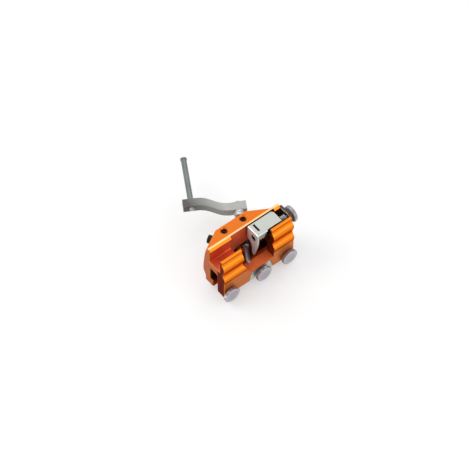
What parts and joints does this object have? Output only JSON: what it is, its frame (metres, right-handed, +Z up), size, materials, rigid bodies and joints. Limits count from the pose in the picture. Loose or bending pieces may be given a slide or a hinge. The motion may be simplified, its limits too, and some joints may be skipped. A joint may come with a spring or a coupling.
{
  "type": "manual chainsaw sharpener",
  "caption": "Hand-cranked chainsaw sharpener: an orange aluminium saddle clamps on the bar and guides a carbide cutter at thirty degrees past a sprung chain stop",
  "frame": {"origin": "On the face that the saw bar is clamped against, half way along the body and level with the clamp screws", "axes": "+X along the saw bar towards the adjusting knob; +Y away from the clamp knobs towards the crank; +Z up, from the open foot of the saddle to the thumb plate"},
  "size_m": [0.0965, 0.15, 0.0591],
  "materials": {
    "orange_anodised": "bright orange anodised aluminium with a satin drawn grain",
    "bright_steel": "turned and lightly polished steel",
    "knob_metal": "knurled knob with a satin turned face",
    "stainless_sheet": "satin stainless sheet",
    "steel": "plain bright steel rod",
    "crank_metal": "brushed grey metal bar",
    "dark_steel": "blackened steel",
    "spring_steel": "bright drawn spring wire",
    "carbide": "ground carbide with helical flutes",
    "brass": "plain turned brass"
  },
  "bodies": {
    "frame": {"body": "orange_anodised", "guide_bushing_right": "dark_steel", "bushing_set_screw_right": "dark_steel", "guide_bushing_left": "dark_steel", "bushing_set_screw_left": "dark_steel", "screw_insert": "bright_steel", "screw_bracket": "crank_metal", "bracket_screw_front": "dark_steel", "bracket_screw_rear": "dark_steel"},
    "feed": {"feed_collar": "bright_steel"},
    "crank": {"cutter_shank": "steel", "cutter_burr": "carbide", "crank_arm": "crank_metal", "crank_set_screw": "dark_steel", "grip_pin": "steel"},
    "grip": {"grip_sleeve": "steel"},
    "pad_left": {"clamp_pad_left": "brass"},
    "screw_left": {"clamp_screw_left": "steel", "clamp_knob_left": "knob_metal"},
    "pad_middle": {"clamp_pad_middle": "brass"},
    "screw_middle": {"clamp_screw_middle": "steel", "clamp_knob_middle": "knob_metal"},
    "pad_right": {"clamp_pad_right": "brass"},
    "screw_right": {"clamp_screw_right": "steel", "clamp_knob_right": "knob_metal"},
    "adjuster": {"adjusting_screw": "steel", "adjusting_knob": "knob_metal"},
    "carriage": {"stop_carriage": "steel", "carriage_clip": "dark_steel", "stop_spring": "spring_steel", "adjuster_spring": "spring_steel"},
    "stop": {"chain_stop": "stainless_sheet"}
  },
  "joints": [
    {"name": "cutter_feed", "type": "slide", "parent": "frame", "child": "feed", "axis": [0.5, 0.866, 0], "range_m": [0, 0.04]},
    {"name": "crank_turn", "type": "hinge", "parent": "feed", "child": "crank", "pos_m": [-0.0025, -0.0008, 0.02], "axis": [0.5, 0.866, 0], "continuous": true},
    {"name": "grip_spin", "type": "hinge", "parent": "crank", "child": "grip", "pos_m": [-0.00797, 0.07972, 0.02], "axis": [0.5, 0.866, 0], "continuous": true},
    {"name": "clamp_slide_left", "type": "slide", "parent": "frame", "child": "pad_left", "axis": [0, 1, 0], "range_m": [-0.0042, 0.0012]},
    {"name": "clamp_turn_left", "type": "hinge", "parent": "pad_left", "child": "screw_left", "pos_m": [-0.0365, -0.018, 0], "axis": [0, 1, 0], "range_deg": [-1513, 433]},
    {"name": "clamp_slide_middle", "type": "slide", "parent": "frame", "child": "pad_middle", "axis": [0, 1, 0], "range_m": [-0.0042, 0.0012]},
    {"name": "clamp_turn_middle", "type": "hinge", "parent": "pad_middle", "child": "screw_middle", "pos_m": [0.003, -0.018, 0], "axis": [0, 1, 0], "range_deg": [-1513, 433]},
    {"name": "clamp_slide_right", "type": "slide", "parent": "frame", "child": "pad_right", "axis": [0, 1, 0], "range_m": [-0.0042, 0.0012]},
    {"name": "clamp_turn_right", "type": "hinge", "parent": "pad_right", "child": "screw_right", "pos_m": [0.035, -0.018, 0], "axis": [0, 1, 0], "range_deg": [-1513, 433]},
    {"name": "adjust_turn", "type": "hinge", "parent": "frame", "child": "adjuster", "pos_m": [0.048, -0.0047, 0.0415], "axis": [-1, 0, 0], "range_deg": [-1543, 1286]},
    {"name": "carriage_slide", "type": "slide", "parent": "frame", "child": "carriage", "axis": [1, 0, 0], "range_m": [-0.003, 0.0025], "deforming": ["adjuster_spring"]},
    {"name": "stop_lift", "type": "hinge", "parent": "carriage", "child": "stop", "pos_m": [0.018, -0.0047, 0.0415], "axis": [-1, 0, 0], "range_deg": [0, 12], "stiffness_Nm_per_rad": 0.02, "springref_deg": -24.98, "deforming": ["stop_spring"]}
  ],
  "couplings": [
    {"joint": "clamp_turn_left", "follows": "clamp_slide_left", "rad_per_m": 6283.2},
    {"joint": "clamp_turn_middle", "follows": "clamp_slide_middle", "rad_per_m": 6283.2},
    {"joint": "clamp_turn_right", "follows": "clamp_slide_right", "rad_per_m": 6283.2},
    {"joint": "adjust_turn", "follows": "carriage_slide", "rad_per_m": 8976}
  ]
}
